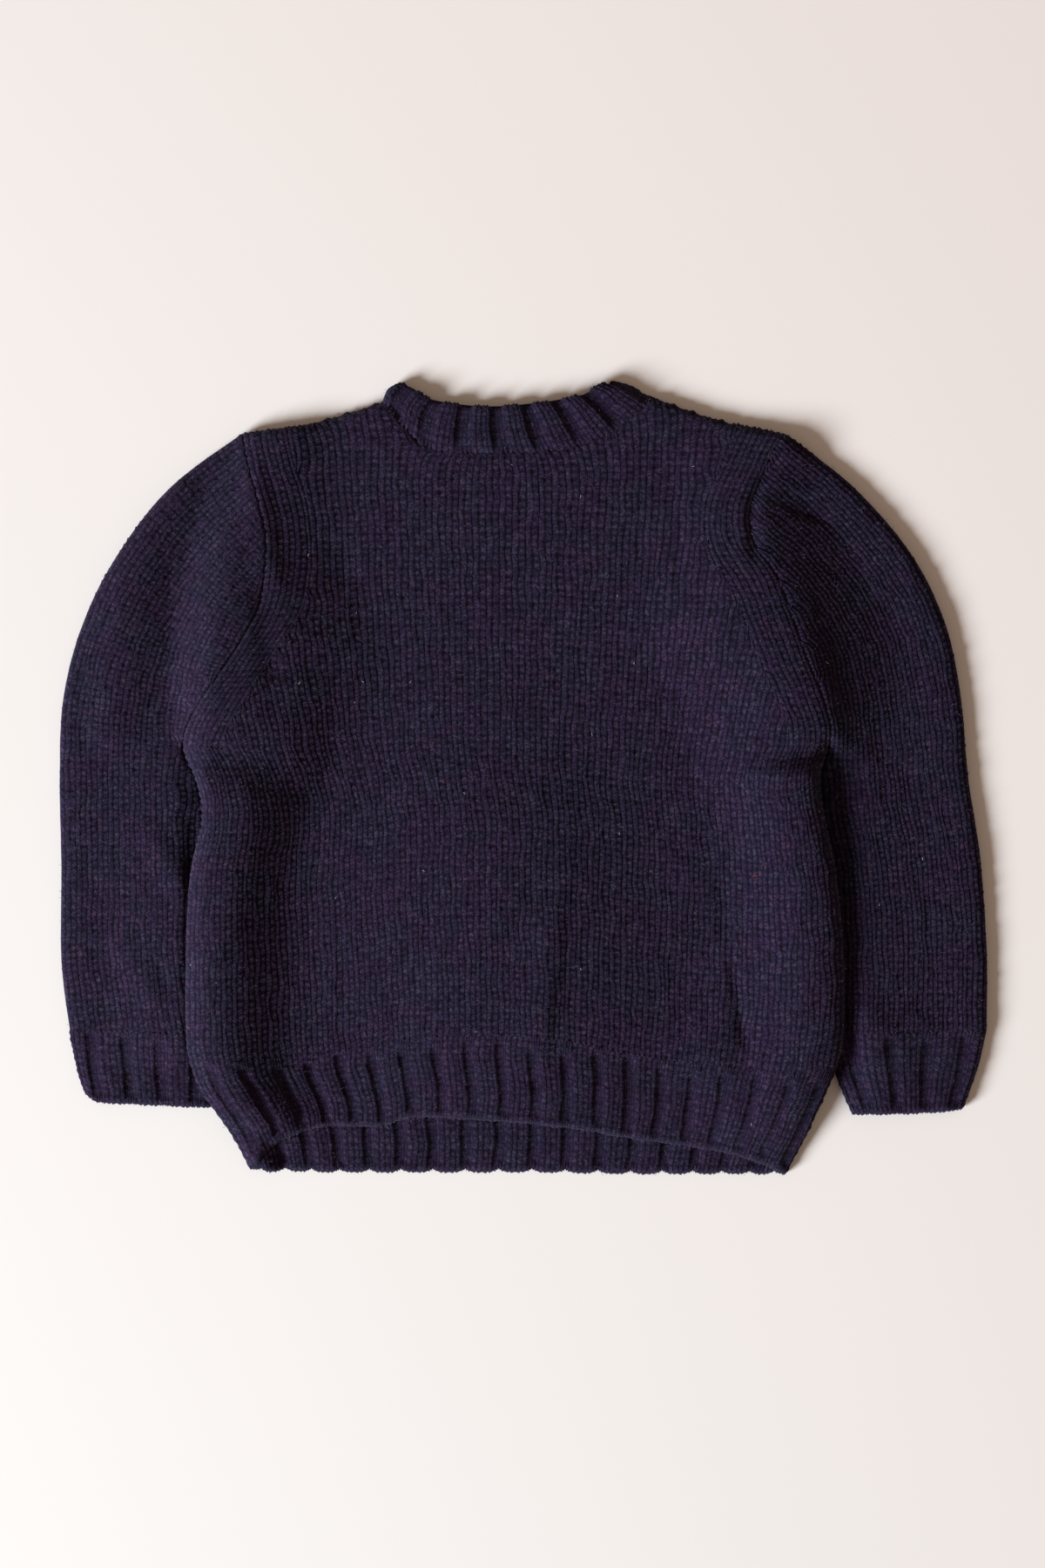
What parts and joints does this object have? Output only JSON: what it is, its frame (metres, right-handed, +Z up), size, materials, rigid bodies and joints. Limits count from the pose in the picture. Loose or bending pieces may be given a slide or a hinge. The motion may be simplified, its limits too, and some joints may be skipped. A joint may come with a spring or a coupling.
{
  "type": "knitted crew-neck jumper",
  "caption": "Child's chunky crew-neck jumper in dark heather yarn, laid flat with its back up, with ribbed hem, cuffs and neckband and set-in sleeves turned down.",
  "frame": {"origin": "middle of the jumper's footprint, on the surface it lies on", "axes": "+X across the back, towards the right-hand sleeve as seen from above with the neck away; +Y from hem to neck; +Z up"},
  "size_m": [0.5522, 0.473, 0.0159],
  "materials": {
    "stockinette": "matt, softly fuzzy wool yarn in plain knit, dark navy heather",
    "rib": "matt, softly fuzzy wool yarn in two-by-two rib, dark navy heather"
  },
  "bodies": {
    "root": {"back_panel": "stockinette", "front_panel": "stockinette", "back_hem_rib": "rib", "front_hem_rib": "rib", "left_sleeve": "stockinette", "right_sleeve": "stockinette", "left_cuff": "rib", "right_cuff": "rib", "neckband": "rib"}
  },
  "joints": []
}
